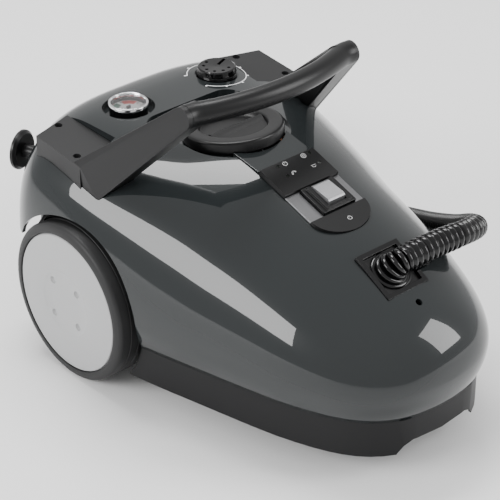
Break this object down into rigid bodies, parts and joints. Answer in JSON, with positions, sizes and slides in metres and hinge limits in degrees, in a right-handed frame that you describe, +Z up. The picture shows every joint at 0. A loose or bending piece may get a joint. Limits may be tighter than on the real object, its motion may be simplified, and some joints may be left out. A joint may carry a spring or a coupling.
{
  "type": "steam cleaner",
  "caption": "Cylinder steam cleaner: glossy rounded shell on large rear wheels and front casters, screw-capped boiler, gauge, steam knob, rocker switch, coiled ribbed hose with steam gun.",
  "frame": {"origin": "on the floor under the middle of the machine, hose and gun left out", "axes": "+X to the machine's right seen from behind, +Y from the hose inlet at the nose towards the cable hooks at the rear, +Z up"},
  "size_m": [0.504, 0.699, 0.3238],
  "materials": {
    "shell": "high gloss",
    "tray": "fine grain",
    "cover": "satin",
    "black": "satin",
    "black_gloss": "gloss",
    "steel": "plain",
    "tyre": "satin",
    "disc": "satin light grey",
    "rubber": "ribbed",
    "brass": "plain",
    "copper": "drawn",
    "foam": "felt",
    "chrome": "polished",
    "white": "printed",
    "lens": "clear",
    "silver": "silver lacquer",
    "paddle": "silver lacquer",
    "board": "lacquered",
    "ceramic": "plain",
    "gasket": "silicone",
    "led": "clear"
  },
  "bodies": {
    "body": {"base_tray": "tray", "upper_shell": "shell", "shell_screws": "steel", "wheel_arch_liners": "tray", "handle_cover_left": "cover", "handle_cover_right": "cover", "handle_arm_left": "black", "handle_arm_right": "black", "handle_grip": "black", "handle_screws": "steel", "rear_axle": "steel", "axle_clips": "steel", "boiler_tank": "steel", "boiler_jacket": "foam", "boiler_saddles": "steel", "heating_element": "steel", "drain_plug": "brass", "steam_valve": "brass", "steam_pipes": "copper", "gauge_case": "black_gloss", "gauge_bezel": "chrome", "gauge_dial": "white", "gauge_lens": "lens", "solenoid_valve": "black", "solenoid_spring": "steel", "pressure_switch": "steel", "safety_thermostat": "ceramic", "control_board": "board", "blank_plate": "shell", "led_panel": "black_gloss", "led_lights": "led", "switch_plate": "silver", "rocker_frame": "black_gloss", "panel_end_trim": "black", "hose_bezel": "black_gloss", "hose_elbow": "black", "strain_relief": "black_gloss", "hose_run": "rubber", "hose_coil": "rubber", "hose_tail": "rubber", "hose_ties": "black", "gun_body": "black", "cable_hooks": "black", "cable_gland": "black"},
    "wheel_left": {"tyre_left": "tyre", "wheel_disc_left": "disc"},
    "wheel_right": {"tyre_right": "tyre", "wheel_disc_right": "disc"},
    "caster_left": {"caster_fork_left": "black"},
    "caster_right": {"caster_fork_right": "black"},
    "caster_roller_left": {"caster_wheel_left": "black"},
    "caster_roller_right": {"caster_wheel_right": "black"},
    "cap_carrier": {"cap_seal_disc": "brass", "cap_gasket": "gasket"},
    "cap": {"cap_knob": "black"},
    "steam_dial": {"steam_knob": "black_gloss"},
    "rocker": {"rocker_paddle": "paddle"},
    "needle": {"gauge_needle": "black"},
    "plunger": {"solenoid_plunger": "steel"},
    "trigger": {"gun_trigger": "cover"}
  },
  "joints": [
    {"name": "wheel_left_spin", "type": "hinge", "parent": "body", "child": "wheel_left", "pos_m": [-0.156, 0.11, 0.085], "axis": [1, 0, 0], "continuous": true},
    {"name": "wheel_right_spin", "type": "hinge", "parent": "body", "child": "wheel_right", "pos_m": [0.156, 0.11, 0.085], "axis": [1, 0, 0], "continuous": true},
    {"name": "caster_left_swivel", "type": "hinge", "parent": "body", "child": "caster_left", "pos_m": [-0.046, -0.154, 0.035], "axis": [0, 0, 1], "continuous": true},
    {"name": "caster_left_spin", "type": "hinge", "parent": "caster_left", "child": "caster_roller_left", "pos_m": [-0.046, -0.132, 0.019], "axis": [1, 0, 0], "continuous": true},
    {"name": "caster_right_swivel", "type": "hinge", "parent": "body", "child": "caster_right", "pos_m": [0.046, -0.154, 0.035], "axis": [0, 0, 1], "continuous": true},
    {"name": "caster_right_spin", "type": "hinge", "parent": "caster_right", "child": "caster_roller_right", "pos_m": [0.046, -0.132, 0.019], "axis": [1, 0, 0], "continuous": true},
    {"name": "cap_lift", "type": "slide", "parent": "body", "child": "cap_carrier", "axis": [0, 0.1045, 0.9945], "range_m": [0, 0.008]},
    {"name": "cap_turn", "type": "hinge", "parent": "cap_carrier", "child": "cap", "pos_m": [0, 0.0535, 0.236], "axis": [0, 0.1045, 0.9945], "range_deg": [0, 720]},
    {"name": "steam_knob_turn", "type": "hinge", "parent": "body", "child": "steam_dial", "pos_m": [0.0695, 0.159, 0.242], "axis": [0, 0, 1], "range_deg": [0, 270]},
    {"name": "rocker_tilt", "type": "hinge", "parent": "body", "child": "rocker", "pos_m": [0.004, -0.07673, 0.21801], "axis": [1, 0, 0], "range_deg": [0, 12]},
    {"name": "gauge_needle_sweep", "type": "hinge", "parent": "body", "child": "needle", "pos_m": [-0.0475, 0.1605, 0.2415], "axis": [0, 0, -1], "range_deg": [0, 250], "stiffness_Nm_per_rad": 0.001},
    {"name": "solenoid_stroke", "type": "slide", "parent": "body", "child": "plunger", "axis": [0, 0, 1], "range_m": [0, 0.004], "stiffness_N_per_m": 200, "springref_m": -0.002},
    {"name": "gun_trigger_squeeze", "type": "hinge", "parent": "body", "child": "trigger", "pos_m": [0.11817, 0.38927, 0.06581], "axis": [0.2934, 0.1694, -0.9409], "range_deg": [0, 6], "stiffness_Nm_per_rad": 0.5, "springref_deg": -5.73}
  ],
  "couplings": [
    {"joint": "cap_lift", "follows": "cap_turn", "m_per_rad": 0.000636}
  ]
}
